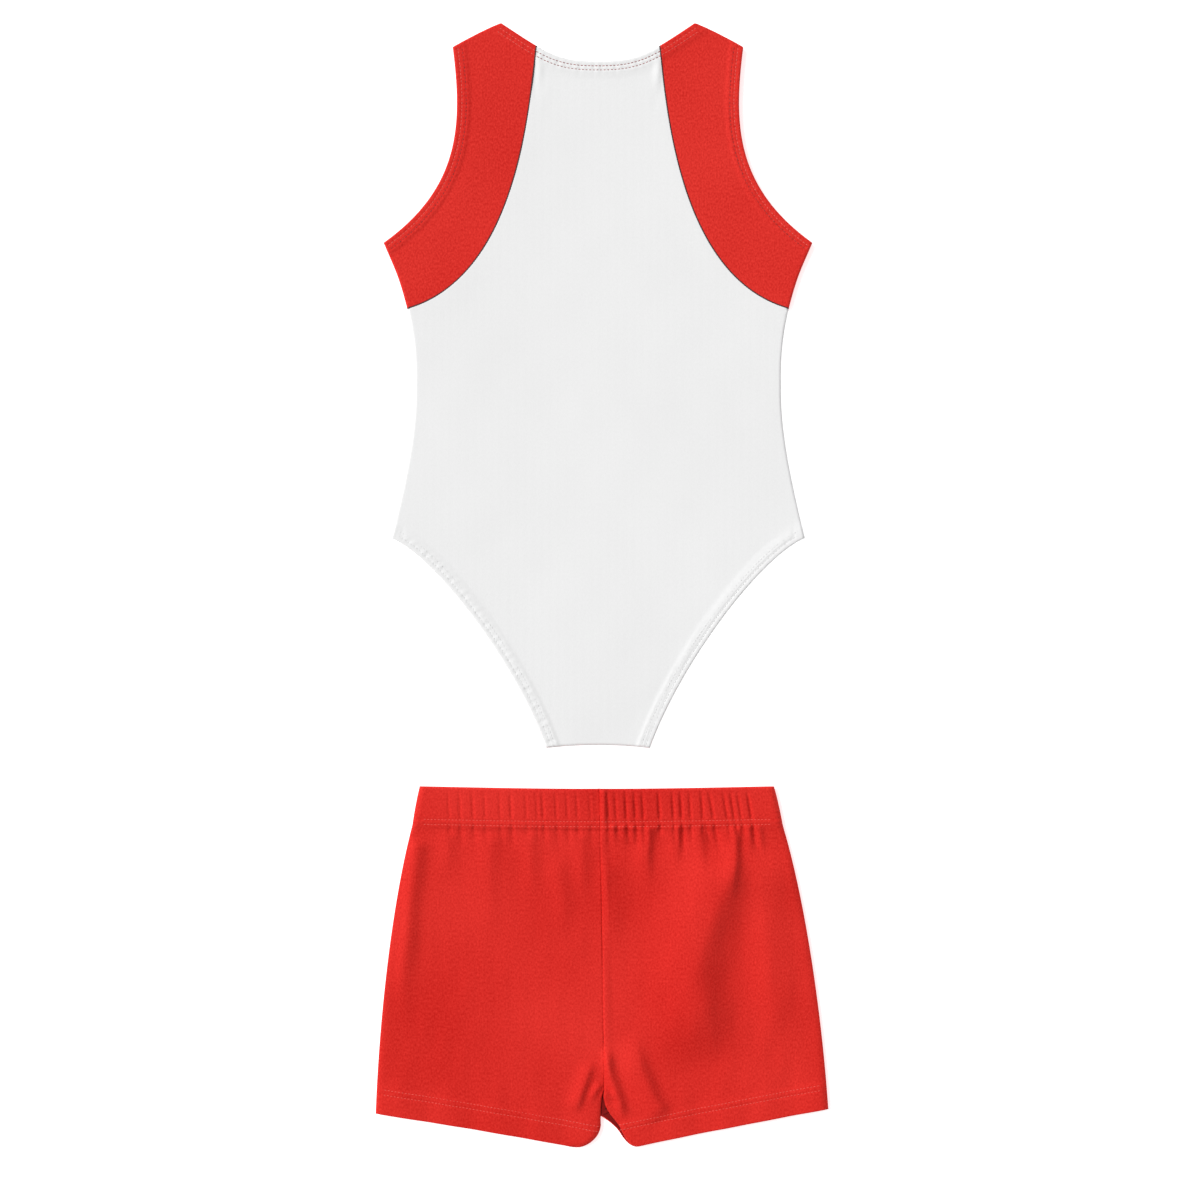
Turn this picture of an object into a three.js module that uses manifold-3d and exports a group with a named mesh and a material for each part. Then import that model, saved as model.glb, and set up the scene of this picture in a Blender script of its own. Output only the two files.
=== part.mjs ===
// A two-piece cheer uniform, laid flat on a surface with its back facing up: a sleeveless leotard in
// white knit with red shoulder yokes, and below it a pair of red brief-length shorts.
// Millimetres, +Z up, +Y towards the neck. Left and right are the wearer's.
import * as THREE from 'three';
import { mergeVertices } from 'three/addons/utils/BufferGeometryUtils.js';
import Module from 'manifold-3d';

const wasm = await Module();
wasm.setup();

// ---- Cloth, elastic and thread ----
const fabric = 0.8; // one ply of double-faced knit
const seatGap = 0.3; // clearance kept between plies, and between pieces that touch
const seamAllowance = 6; // overlocked allowance inside a seam
const threadRise = 0.3; // how far a cover stitch stands on the cloth
const threadWidth = 0.6;

// ---- Leotard, measured flat from the crotch fold, half widths from the centre line ----
const leotardLength = 543; // crotch to the neck end of the shoulder
const neckHalf = 73;
const backNeckDepth = 29;
const frontNeckDepth = 47;
const shoulderHalf = 109;
const shoulderDrop = 18;
const underarmHeight = 378;
const chestHalf = 160.5;
const yokeSideHeight = 329; // where the yoke seam meets the side
const ribHalf = 143;
const yokeNeckHalf = 46;
const waistHeight = 272; // the leotard folds in half here
const waistHalf = 137;
const hipHeight = 157.5; // top of the leg opening
const hipHalf = 155;
const crotchHalf = 39;
const leotardHem = 8; // turned hem round the neck, armholes and legs
const leotardElasticWidth = 5;
const leotardElastic = 0.8;
const leotardStitchInset = 3.6; // outer row of the cover stitch, from the edge
const stitchGauge = 3.2; // between the two rows of a cover stitch
const gussetHeight = 85;
const elasticInset = fabric + seatGap; // from an edge or an end of its hem
const bridgeLength = 2; // of elastic, where it passes from the front of a garment to its back

// ---- Shorts, measured down from the top of the waistband ----
const garmentGap = 28.5; // between the two garments as they lie
const shortsWaistHalf = 133.5;
const sideLength = 245;
const shortsHemHalf = 169.5;
const rise = 226; // waist to crotch
const legDrop = 270; // waist to the inner corner of the leg hem
const innerCornerHalf = 26;
const innerCornerRise = 22;
const crotchSlit = 3; // between the two legs
const waistHem = 30;
const waistElasticWidth = 22;
const waistElastic = 1;
const waistStitchInset = 24.2;
const legHem = 20;
const legStitchInset = 15.2;

const reach = 2 * (leotardLength + legDrop); // longer than anything it cuts
const overrun = 1; // how far a cut runs past an edge
const endRun = 15; // and past the ends of one

const finishes = {
  white_knit: { color: 0xeeeeee, roughness: 0.8, metalness: 0 },
  red_knit: { color: 0xd9302c, roughness: 0.7, metalness: 0 },
  lining: { color: 0xe9e7e3, roughness: 0.85, metalness: 0 },
  elastic: { color: 0xf4f3ef, roughness: 0.75, metalness: 0 },
  thread: { color: 0x8c3b3f, roughness: 0.6, metalness: 0 },
};

// ---- Flat outlines ----

/** A curve from start to end; each handle is [share of the chord, share of it to the right]. */
function bow(start, end, leave, arrive, steps = 12) {
  const chord = end.clone().sub(start);
  const right = new THREE.Vector2(chord.y, -chord.x);
  const handle = ([along, aside]) =>
    start.clone().addScaledVector(chord, along).addScaledVector(right, aside);
  return new THREE.CubicBezierCurve(start, handle(leave), handle(arrive), end).getPoints(steps);
}

const at = (x, y) => new THREE.Vector2(x, y);
const mirrored = (points) => points.map((point) => at(-point.x, point.y)).reverse();
const join = (...runs) =>
  runs.flat().filter((point, i, all) => i === 0 || point.distanceTo(all[i - 1]) > 1e-6);

/** The run with a straight piece added at each end. */
function lengthened(points, extra) {
  const first = points[0];
  const last = points[points.length - 1];
  const start = first.clone().sub(points[1]).setLength(extra).add(first);
  const end = last.clone().sub(points[points.length - 2]).setLength(extra).add(last);
  return [start, ...points, end];
}

/** The run moved sideways into the cloth, which lies to its right. */
function inset(points, distance) {
  return points.map((point, i) => {
    const before = points[Math.max(i - 1, 0)];
    const after = points[Math.min(i + 1, points.length - 1)];
    const along = after.clone().sub(before).normalize();
    return at(point.x + along.y * distance, point.y - along.x * distance);
  });
}

// ---- Solids ----

function solidOf(geometry) {
  const bare = geometry.clone();
  bare.deleteAttribute('normal');
  bare.deleteAttribute('uv');
  const merged = mergeVertices(bare);
  return new wasm.Manifold(
    new wasm.Mesh({
      numProp: 3,
      vertProperties: merged.attributes.position.array,
      triVerts: Uint32Array.from(merged.index.array),
    }),
  );
}

/** The flat outline as a plate between two heights. */
function plate(outline, bottom, top) {
  const geometry = new THREE.ExtrudeGeometry(new THREE.Shape(outline), {
    depth: top - bottom,
    bevelEnabled: false,
  });
  return solidOf(geometry.translate(0, 0, bottom));
}

/** A strip along an edge, from one inset to another, run on past both ends. */
function strip(edge, from, to, layer, extra = endRun) {
  const run = extra ? lengthened(edge, extra) : edge;
  return plate([...inset(run, from), ...inset(run, to).reverse()], layer.bottom, layer.top);
}

const layerOf = (region, layer) => region(layer.bottom, layer.top);
const spanning = (low, high) => ({ bottom: low.bottom, top: high.top });
const looser = (layer) => ({ bottom: layer.bottom - seatGap / 2, top: layer.top + seatGap / 2 });

/** The plies of a garment lying flat, from the surface up. */
function stackOf(core) {
  const layers = {};
  let level = 0;
  const order = {
    frontShell: fabric,
    frontCore: core,
    frontTurn: fabric,
    backTurn: fabric,
    backCore: core,
    backShell: fabric,
    stitch: threadRise,
  };
  for (const [name, thickness] of Object.entries(order)) {
    layers[name] = { bottom: level, top: level + thickness };
    level += thickness + seatGap;
  }
  return layers;
}

/** Adds one named piece of the garment to its group. */
function piece(group, name, finish, solid) {
  const mesh = solid.getMesh();
  const geometry = new THREE.BufferGeometry();
  geometry.setAttribute('position', new THREE.BufferAttribute(mesh.vertProperties, 3));
  geometry.setIndex(new THREE.BufferAttribute(mesh.triVerts, 1));
  geometry.computeVertexNormals();
  const body = new THREE.Mesh(geometry, new THREE.MeshStandardMaterial(finishes[finish]));
  body.name = name;
  group.add(body);
}

/**
 * Turns the cloth of one side of the garment over along an edge: the fold itself and the ply that
 * lies inside. Each end of the ply stops short of the corner where the elastic passes from the
 * front of the garment to the back.
 */
function turnedHem(region, edge, width, shell, turn, corners) {
  const whole = shell.bottom < turn.bottom ? spanning(shell, turn) : spanning(turn, shell);
  const fold = strip(edge, 0, fabric, whole);
  let ply = strip(edge, 0, width, turn);
  for (const corner of corners) {
    const passage = strip(corner, -overrun, elasticInset + bridgeLength + seatGap, looser(turn));
    const within = strip(edge, fabric, width + seatGap, looser(turn));
    ply = ply.subtract(passage.intersect(within));
  }
  return layerOf(region, whole).intersect(fold.add(ply));
}

/**
 * A flattened loop of elastic: a run in the front hem, a run in the back hem, and a bridge between
 * them at each end, where the garment folds or is seamed.
 */
function elasticLoop(front, back, width, layers, corners) {
  const runIn = (garment, layer) => {
    const run = strip(garment.edge, elasticInset, elasticInset + width, layer);
    return corners.reduce(
      (rest, corner) => rest.subtract(strip(corner, -overrun, elasticInset, looser(layer))),
      run.intersect(layerOf(garment.region, layer)),
    );
  };
  const height = spanning(layers.frontCore, layers.backCore);
  const bridges = corners.map((corner) =>
    runIn(back, height)
      .intersect(runIn(front, height))
      .intersect(strip(corner, 0, elasticInset + bridgeLength, height)),
  );
  const runs = runIn(front, layers.frontCore).add(runIn(back, layers.backCore));
  return bridges.reduce((loop, bridge) => loop.add(bridge), runs);
}

/** Everything on the neck side of a line across the garment. */
function above(y, layer) {
  const corners = [at(-reach, y), at(reach, y), at(reach, reach), at(-reach, reach)];
  return plate(corners, layer.bottom, layer.top);
}

// ---- Leotard ----

const leotard = new THREE.Group();
const plies = stackOf(leotardElastic);
const everywhere = { bottom: -1, top: plies.stitch.top + 1 };

const shoulderNeck = at(neckHalf, leotardLength);
const shoulderTip = at(shoulderHalf, leotardLength - shoulderDrop);
const underarm = at(chestHalf, underarmHeight);
const rib = at(ribHalf, yokeSideHeight);
const waist = at(waistHalf, waistHeight);
const hip = at(hipHalf, hipHeight);
const crotchCorner = at(crotchHalf, 0);

const halfNeck = (depth) =>
  bow(at(0, leotardLength - depth), shoulderNeck, [0.36, 0.14], [0.48, 0.11]);
const shoulder = [shoulderNeck, shoulderTip];
const armhole = bow(shoulderTip, underarm, [0.33, 0.17], [0.62, 0.26]);
const side = join(
  bow(underarm, rib, [0.39, 0.02], [0.48, 0.05], 5),
  bow(rib, waist, [0.38, 0.05], [0.7, 0.04], 5),
  bow(waist, hip, [0.31, 0.06], [0.69, 0.03], 8),
);
const legOpening = bow(hip, crotchCorner, [0.15, 0.09], [0.66, 0.1]);
const crotchEdge = [crotchCorner, at(-crotchHalf, 0)];
const yokeTop = at(yokeNeckHalf, leotardLength - shoulderDrop);
const yokeSeam = bow(yokeTop, rib, [0.16, 0.05], [0.73, 0.3]);

const hands = ['left', 'right'];
const handed = { left: mirrored, right: (points) => points };
const edgesOf = (edge) => hands.map((hand) => handed[hand](edge));

/** The back or the front of the leotard, which differ in how low the neck is cut. */
function leotardSide(neckDepth) {
  const neck = halfNeck(neckDepth);
  const half = join(neck, shoulder, armhole, side, legOpening);
  const outline = join(half, mirrored(half)).slice(0, -1);
  return {
    region: (bottom, top) => plate(outline, bottom, top),
    neck: join(mirrored(neck), neck),
  };
}

const back = leotardSide(backNeckDepth);
const front = leotardSide(frontNeckDepth);
const hemEdges = (garment) => [garment.neck, ...edgesOf(armhole), ...edgesOf(legOpening)];

/** The shoulder side of the yoke seam, moved towards the shoulder by the gap. */
function yokeZone(hand, gap, layer) {
  const seam = lengthened(inset(yokeSeam, -gap), leotardLength / 8);
  const end = seam[seam.length - 1];
  const zone = [...seam, at(reach, end.y), at(reach, reach), at(seam[0].x, reach)];
  return plate(handed[hand](zone), layer.bottom, layer.top);
}

/** The whole side of the leotard, its three kinds of turned hem included. */
function hemmedSide(garment, shell, turn) {
  const hem = (edge, corners) =>
    turnedHem(garment.region, edge, leotardHem, shell, turn, corners);
  let cloth = layerOf(garment.region, shell).add(hem(garment.neck, edgesOf(shoulder)));
  for (const own of Object.values(handed)) {
    cloth = cloth
      .add(hem(own(armhole), [own(shoulder), own(side)]))
      .add(hem(own(legOpening), [own(side), crotchEdge]));
  }
  return cloth;
}

/** Everything of the solid that lies clear of the hems, by the given margin. */
function clearOfHems(solid, garment, margin) {
  return hemEdges(garment).reduce(
    (rest, edge) => rest.subtract(strip(edge, -overrun, leotardHem + margin, everywhere)),
    solid,
  );
}

const aboveFold = above(waistHeight + seatGap / 2, everywhere);
const overFold = above(waistHeight - seatGap / 2, everywhere);

function splitAtFold(name, finish, solid) {
  piece(leotard, name.replace('*', 'upper'), finish, solid.intersect(aboveFold));
  piece(leotard, name.replace('*', 'lower'), finish, solid.subtract(overFold));
}

for (const [label, garment, shell, turn] of [
  ['back', back, plies.backShell, plies.backTurn],
  ['front', front, plies.frontShell, plies.frontTurn],
]) {
  const cloth = hemmedSide(garment, shell, turn);
  let white = cloth;
  for (const hand of hands) {
    const yoke = cloth.intersect(yokeZone(hand, seatGap / 2, everywhere));
    piece(leotard, `${label}_yoke_${hand}`, 'red_knit', yoke);
    white = white.subtract(yokeZone(hand, -seatGap / 2, everywhere));
  }
  splitAtFold(`${label}_panel_*`, 'white_knit', white);
}

// The lining backs the front panel inside its seams and hems.
let lining = clearOfHems(layerOf(front.region, plies.frontCore), front, seatGap);
for (const hand of hands) {
  lining = lining
    .subtract(yokeZone(hand, -seamAllowance / 2 - seatGap, everywhere))
    .subtract(strip(handed[hand](side), -overrun, seamAllowance + seatGap, everywhere));
}
lining = lining.subtract(strip(crotchEdge, -overrun, seamAllowance + seatGap, everywhere));
splitAtFold('front_lining_*', 'lining', lining);

// The gusset lies on the lining between the leg hems.
const gusset = clearOfHems(layerOf(front.region, plies.frontTurn), front, seatGap)
  .subtract(above(gussetHeight, everywhere))
  .subtract(strip(crotchEdge, -overrun, seamAllowance + seatGap, everywhere));
piece(leotard, 'crotch_gusset', 'lining', gusset);

// Elastic runs in every hem, front and back.
const inside = spanning(plies.frontCore, plies.backCore);
const neckRuns = [front, back].map(({ region, neck }) => ({ region, edge: neck }));
const neckElastic = elasticLoop(...neckRuns, leotardElasticWidth, plies, edgesOf(shoulder));
piece(leotard, 'neck_elastic', 'elastic', neckElastic);
for (const hand of hands) {
  const own = handed[hand];
  for (const [name, edge, corners] of [
    [`armhole_elastic_${hand}`, armhole, [own(shoulder), own(side)]],
    [`leg_elastic_${hand}`, legOpening, [own(side), crotchEdge]],
  ]) {
    const run = { region: back.region, edge: own(edge) };
    piece(leotard, name, 'elastic', elasticLoop(run, run, leotardElasticWidth, plies, corners));
  }
}

// Two rows of cover stitch hold each hem; the pair is one low band along the back.
function coverStitch(edge, stitchInset, region, layers) {
  const width = stitchGauge + threadWidth;
  return strip(edge, stitchInset, stitchInset + width, layers.stitch)
    .intersect(layerOf(region, layers.stitch));
}
const neckRows = coverStitch(back.neck, leotardStitchInset, back.region, plies);
piece(leotard, 'neck_coverstitch', 'thread', neckRows);
for (const hand of hands) {
  for (const [name, edge] of [
    ['armhole', armhole],
    ['leg', legOpening],
  ]) {
    const run = handed[hand](edge);
    const rows = coverStitch(run, leotardStitchInset, back.region, plies);
    piece(leotard, `${name}_coverstitch_${hand}`, 'thread', rows);
  }
}

/** The allowance of a seam that joins the front to the back, clear of the hems it runs into. */
function allowanceAlong(edge) {
  const allowance = strip(edge, 0, seamAllowance, inside).intersect(layerOf(front.region, inside));
  return clearOfHems(allowance, front, seatGap);
}

// Overlocked allowances join the plies inside the shoulder, side, crotch and yoke seams.
for (const hand of hands) {
  const own = handed[hand];
  const shoulderSeam = clearOfHems(allowanceAlong(own(shoulder)), back, seatGap);
  piece(leotard, `shoulder_seam_${hand}`, 'thread', shoulderSeam);
  splitAtFold(`side_seam_*_${hand}`, 'thread', allowanceAlong(own(side)));
  for (const [label, garment, core] of [
    ['back', back, plies.backCore],
    ['front', front, plies.frontCore],
  ]) {
    const seam = strip(own(yokeSeam), -seamAllowance / 2, seamAllowance / 2, core)
      .intersect(layerOf(garment.region, core))
      .subtract(strip(own(side), -overrun, seamAllowance + seatGap, everywhere));
    piece(leotard, `yoke_seam_${label}_${hand}`, 'thread', clearOfHems(seam, garment, seatGap));
  }
}
piece(leotard, 'crotch_seam', 'thread', allowanceAlong(crotchEdge));

// ---- Shorts ----

const shorts = new THREE.Group();
const shortsPlies = stackOf(waistElastic);
const shortsInside = spanning(shortsPlies.frontCore, shortsPlies.backCore);
const allShorts = { bottom: -1, top: shortsPlies.stitch.top + 1 };

const waistTop = [at(seatGap / 2, 0), at(shortsWaistHalf, 0)];
const hemCorner = at(shortsHemHalf, -sideLength);
const shortsSide = bow(waistTop[1], hemCorner, [0.33, -0.018], [0.7, -0.034]);
const innerCorner = at(innerCornerHalf, -legDrop);
const legHemEdge = bow(hemCorner, innerCorner, [0.33, 0], [0.67, 0.01], 8);
const legSlit = at(crotchSlit / 2, -legDrop + innerCornerRise);
const cornerRound = bow(innerCorner, legSlit, [0.4, -0.2], [0.75, -0.15], 6);
const inseam = [legSlit, at(crotchSlit / 2, -rise)];
const centreSeam = [at(seatGap / 2, -rise + crotchSlit), at(seatGap / 2, 0)];
const legOutline = join(waistTop, shortsSide, legHemEdge, cornerRound, inseam, centreSeam).slice(0, -1);

for (const hand of hands) {
  const own = handed[hand];
  const region = (bottom, top) => plate(own(legOutline), bottom, top);
  const edges = {
    waist: own(waistTop),
    side: own(shortsSide),
    hem: own(legHemEdge),
    inseam: own(inseam),
  };
  for (const [label, shell, turn] of [
    ['back', shortsPlies.backShell, shortsPlies.backTurn],
    ['front', shortsPlies.frontShell, shortsPlies.frontTurn],
  ]) {
    const cloth = layerOf(region, shell)
      .add(turnedHem(region, edges.waist, waistHem, shell, turn, [edges.side]))
      .add(turnedHem(region, edges.hem, legHem, shell, turn, []));
    piece(shorts, `shorts_${label}_${hand}`, 'red_knit', cloth);
  }

  const run = { region, edge: edges.waist };
  const elastic = elasticLoop(run, run, waistElasticWidth, shortsPlies, [edges.side]);
  piece(shorts, `waist_elastic_${hand}`, 'elastic', elastic);
  for (const [name, edge, stitchInset] of [
    ['waist', edges.waist, waistStitchInset],
    ['leg_hem', edges.hem, legStitchInset],
  ]) {
    const rows = coverStitch(edge, stitchInset, region, shortsPlies);
    piece(shorts, `${name}_coverstitch_${hand}`, 'thread', rows);
  }

  const clearOfBands = (solid) =>
    solid
      .subtract(strip(edges.waist, -overrun, waistHem + seatGap, allShorts))
      .subtract(strip(edges.hem, -overrun, legHem + seatGap, allShorts));
  for (const [name, edge] of [
    ['shorts_side_seam', edges.side],
    ['inseam', edges.inseam],
  ]) {
    const past = name === 'inseam' ? 0 : endRun;
    const seam = strip(edge, 0, seamAllowance, shortsInside, past)
      .intersect(layerOf(region, shortsInside));
    piece(shorts, `${name}_${hand}`, 'thread', clearOfBands(seam));
  }

  // Both centre seams are pressed towards the wearer's right.
  if (hand === 'right') {
    for (const [label, core] of [
      ['back', shortsPlies.backCore],
      ['front', shortsPlies.frontCore],
    ]) {
      const seam = strip(centreSeam, 0, seamAllowance, core, 0).intersect(layerOf(region, core));
      piece(shorts, `centre_seam_${label}`, 'thread', clearOfBands(seam));
    }
  }
}

// ---- The pair as it lies ----

const layoutLength = leotardLength + garmentGap + legDrop;
leotard.position.y = layoutLength / 2 - leotardLength;
shorts.position.y = leotard.position.y - garmentGap;

const uniform = new THREE.Group();
uniform.add(leotard, shorts);

export default uniform;
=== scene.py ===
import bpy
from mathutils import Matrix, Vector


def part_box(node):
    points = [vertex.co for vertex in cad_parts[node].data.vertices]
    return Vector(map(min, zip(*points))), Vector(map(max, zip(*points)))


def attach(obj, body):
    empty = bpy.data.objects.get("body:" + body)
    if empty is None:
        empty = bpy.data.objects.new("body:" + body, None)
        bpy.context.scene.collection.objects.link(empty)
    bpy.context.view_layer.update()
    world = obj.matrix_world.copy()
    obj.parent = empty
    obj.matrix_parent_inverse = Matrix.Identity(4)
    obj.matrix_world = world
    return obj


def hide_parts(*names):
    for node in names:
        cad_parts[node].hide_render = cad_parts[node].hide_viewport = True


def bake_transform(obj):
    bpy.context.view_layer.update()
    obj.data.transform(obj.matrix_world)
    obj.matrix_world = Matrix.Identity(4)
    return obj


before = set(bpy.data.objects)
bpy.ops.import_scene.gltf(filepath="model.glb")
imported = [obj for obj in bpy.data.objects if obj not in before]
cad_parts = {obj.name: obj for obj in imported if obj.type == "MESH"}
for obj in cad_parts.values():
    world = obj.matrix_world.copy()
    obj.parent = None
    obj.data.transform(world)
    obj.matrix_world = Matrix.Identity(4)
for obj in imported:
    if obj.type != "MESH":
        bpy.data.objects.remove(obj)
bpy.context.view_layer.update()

import math
from functools import partial

import bpy
import numpy as np

# ---- Back panel of the leotard ----
# One cut piece of white double-faced sports knit, from the neck to the crotch. Every edge is turned
# under: round the neck and the legs as an elastic hem, elsewhere as the allowance of a seam.

crotch_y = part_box("back_panel_lower")[0].y
shoulder_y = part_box("back_yoke_right")[1].y
fold_y = (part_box("back_panel_lower")[1].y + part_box("back_panel_upper")[0].y) / 2
chest_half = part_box("back_yoke_right")[1].x
hip_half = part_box("back_panel_lower")[1].x
stack_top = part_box("back_panel_upper")[1].z
mid_plane = stack_top / 2
crotch_half = 0.0388
leg_rise = 0.1574
waist_half = 0.1371
rib_half = 0.1429
rib_drop = 0.2138
neck_half = 0.0728
yoke_top_half = 0.0461
back_neck_drop = 0.0286
shoulder_half = 0.1088
shoulder_slope = 0.018
underarm_drop = 0.1647
cloth_thickness = 0.0005
waist_turn = 0.014  # length of cloth that bends when the leotard is folded in half


def bow(start, end, leave=(1 / 3, 0), arrive=(2 / 3, 0), count=40):
    """Cubic curve from start to end; each handle is (share of the chord, share of it to the right)."""
    start, end = np.array(start, float), np.array(end, float)
    chord = end - start
    right = np.array([chord[1], -chord[0]])
    first = start + leave[0] * chord + leave[1] * right
    second = start + arrive[0] * chord + arrive[1] * right
    t = np.linspace(0, 1, count)[:, None]
    return (
        (1 - t) ** 3 * start
        + 3 * t * (1 - t) ** 2 * first
        + 3 * t**2 * (1 - t) * second
        + t**3 * end
    )


def chain(*runs):
    """Runs of points joined end to end, each shared point kept once."""
    return np.concatenate([runs[0]] + [run[1:] for run in runs[1:]])


def mirror(path):
    """The same path on the other side of the centre line, run the same way."""
    return path * np.array([-1, 1])


def other_side(path):
    """The path on the other side, run backwards, so that the cloth stays on its right."""
    return mirror(path)[::-1]


def at_height(plan, height):
    """Points of a plan with their height, one for all or one for each."""
    return np.concatenate([plan, np.broadcast_to(height, plan.shape[:-1])[..., None]], axis=-1)


def lengths(path):
    """Distance run along a path up to each of its points."""
    return np.concatenate([[0], np.cumsum(np.linalg.norm(np.diff(path, axis=0), axis=1))])


def along(path, shares):
    """Points at the given shares of a path's length."""
    run = lengths(path)
    return np.stack([np.interp(shares * run[-1], run, column) for column in path.T], axis=-1)


def nearest(x, y, path):
    """For each point, its distance to a path, the place along the path of its nearest point, and the
    side it lies on, 1 to the right of the path and -1 to the left."""
    points = np.stack([np.ravel(x), np.ravel(y)], axis=-1)[:, None]
    start, step = path[:-1], np.diff(path, axis=0)
    share = ((points - start) * step).sum(2) / np.maximum((step**2).sum(1), 1e-16)
    share = share.clip(0, 1)
    gap = points - start - share[..., None] * step
    distance = np.hypot(gap[..., 0], gap[..., 1])
    best = distance.argmin(1)
    rows = np.arange(len(best))
    place = lengths(path)[best] + share[rows, best] * np.linalg.norm(step[best], axis=1)
    cross = gap[rows, best, 0] * step[best, 1] - gap[rows, best, 1] * step[best, 0]
    shape = np.shape(x)
    return (
        distance[rows, best].reshape(shape),
        place.reshape(shape),
        np.where(cross >= 0, 1.0, -1.0).reshape(shape),
    )


def smooth(value, low, high):
    """0 below low, 1 above high, and an even S between them."""
    t = np.clip((value - low) / (high - low), 0, 1)
    return t * t * (3 - 2 * t)


def ripple(x, y, size, seed):
    """Soft unevenness from -1 to 1: the mean of seven waves of about one size, in seeded directions."""
    chance = np.random.default_rng(seed)
    total = np.zeros(np.shape(x))
    for _ in range(7):
        angle, phase = chance.uniform(0, 2 * math.pi, 2)
        length = size * chance.uniform(0.7, 1.5)
        across = x * math.cos(angle) + y * math.sin(angle)
        total = total + np.sin(2 * math.pi * across / length + phase)
    return total / 7


def rightward(path):
    """Unit directions to the right of a path, at each of its points."""
    step = np.gradient(path, axis=0)
    step /= np.linalg.norm(step, axis=1)[:, None]
    return np.stack([step[:, 1], -step[:, 0]], axis=-1)


def piece_of(path, start, end, count=60):
    """The part of a path between two distances along it."""
    run = lengths(path)
    return along(path, np.linspace(start, end, count) / run[-1])


def parted(path, x):
    """A path that runs towards +X, cut in two where it passes x."""
    place = np.interp(x, path[:, 0], lengths(path))
    return piece_of(path, 0, place), piece_of(path, place, lengths(path)[-1])


# The outline of the wearer's right half, from the neck round to the crotch.
shoulder_neck = (neck_half, shoulder_y)
shoulder_tip = (shoulder_half, shoulder_y - shoulder_slope)
underarm = (chest_half, shoulder_y - underarm_drop)
rib = (rib_half, shoulder_y - rib_drop)
waist = (waist_half, fold_y)
hip = (hip_half, crotch_y + leg_rise)
crotch_corner = (crotch_half, crotch_y)

back_neck = bow((0, shoulder_y - back_neck_drop), shoulder_neck, (0.355, 0.142), (0.48, 0.114), 80)
shoulder = bow(shoulder_neck, shoulder_tip, (0.3, -0.03), (0.7, -0.02))
armhole = bow(shoulder_tip, underarm, (0.333, 0.168), (0.625, 0.263), 60)
side_above = bow(underarm, rib, (0.386, 0.02), (0.484, 0.049))
side_below = chain(
    bow(rib, waist, (0.38, 0.049), (0.699, 0.039)),
    bow(waist, hip, (0.308, 0.056), (0.688, 0.027)),
)
leg_opening = bow(hip, crotch_corner, (0.152, 0.092), (0.661, 0.101), 60)
crotch_edge = bow(crotch_corner, (-crotch_half, crotch_y), (0.3, 0.04), (0.7, 0.04))
back_neck_white, back_neck_red = parted(back_neck, yoke_top_half)
back_yoke_seam = bow(back_neck_red[0], rib, (0.16, 0.053), (0.73, 0.302), 60)

hem_swell = mid_plane  # height of the hems above the plane between front and back
single_swell = 0.0024  # height of the single cloth above that plane
edge_round = 0.0018  # how far in from a side its curve reaches
hem_roll = 0.0015  # radii of rolled edges
seam_roll = 0.0006
hem_step = (0.0078, 0.0115)  # where a hem steps down, in from its edge
stitch_rows = (0.0039, 0.0070)  # of a hem, in from its edge
groove_depth = 0.0004  # under each row
groove_half_width = 0.0006
pucker_height = 0.00016  # where the elastic gathers a hem
leotard_waves = ((0.00035, 0.09, 3), (0.00012, 0.03, 4))  # height, length and seed
seam_ease = 0.0001  # beside the yoke seam
neck_crease = 0.0455  # half the width between the crumpled places under the neck's corners
neck_crumple = 0.0012


def quarter(distance, radius):
    """How far a rounded edge of that radius has dropped at a distance in from it."""
    inside = (radius - np.minimum(distance, radius)) / radius
    return radius * (1 - np.sqrt(np.maximum(1 - inside**2, 0)))


def leotard_swell(x, y, neck, yoke_seam):
    """Height of the cloth above the plane between front and back. Hems stand full height, and step
    down to the single cloth inside their stitches. Edges that roll drop as a quarter circle, the yoke
    seam sinks between its two allowances, and sides curve down to the plane as a quarter ellipse."""
    half = np.abs(x)
    hem, place, _ = nearest(half, y, neck)
    for path in (armhole, leg_opening):
        other, further, _ = nearest(half, y, path)
        place = np.where(other < hem, further, place)
        hem = np.minimum(hem, other)
    side = np.minimum(nearest(half, y, shoulder)[0], nearest(half, y, crotch_edge)[0])
    side = np.minimum(side, nearest(half, y, chain(side_above, side_below))[0])
    seam = nearest(half, y, yoke_seam)[0]

    level = single_swell + (hem_swell - single_swell) * (1 - smooth(hem, *hem_step))
    for row in stitch_rows:
        level = level - groove_depth * np.exp(-(((hem - row) / groove_half_width) ** 2))
    pucker = np.cos(2 * math.pi * place / 0.0052) + 0.6 * np.cos(2 * math.pi * place / 0.0083)
    pucker = pucker * (1 - smooth(hem, 0.006, 0.0105)) * smooth(hem, 0.001, 0.004)
    level = level + pucker_height * pucker
    for height, size, seed in leotard_waves:
        level = level + height * smooth(hem, 0.009, 0.02) * ripple(x, y, size, seed)
    level = level + seam_ease * smooth(seam, 0, 0.001) * (1 - smooth(seam, 0.002, 0.02))
    corner = np.exp(-(((x**2 / neck_crease**2 - 1) / 0.22) ** 2)) * (y > fold_y)
    corner = corner * smooth(hem, 0.008, 0.012) * (1 - smooth(hem, 0.02, 0.05))
    level = level + neck_crumple * corner * ripple(x, y * 0.3, 0.011, 5)
    level = level - quarter(hem, hem_roll) - quarter(seam, seam_roll)
    rounded = 1 - np.minimum(side / edge_round, 1)
    return 0.0001 + level * np.sqrt(1 - rounded**2)


edge_steps = np.array([0, 0.15, 0.4, 0.8, 1.3, 2, 2.8, 3.7, 4.6, 5.6, 6.6, 7.6, 8.8, 10.2]) / 1000


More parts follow.
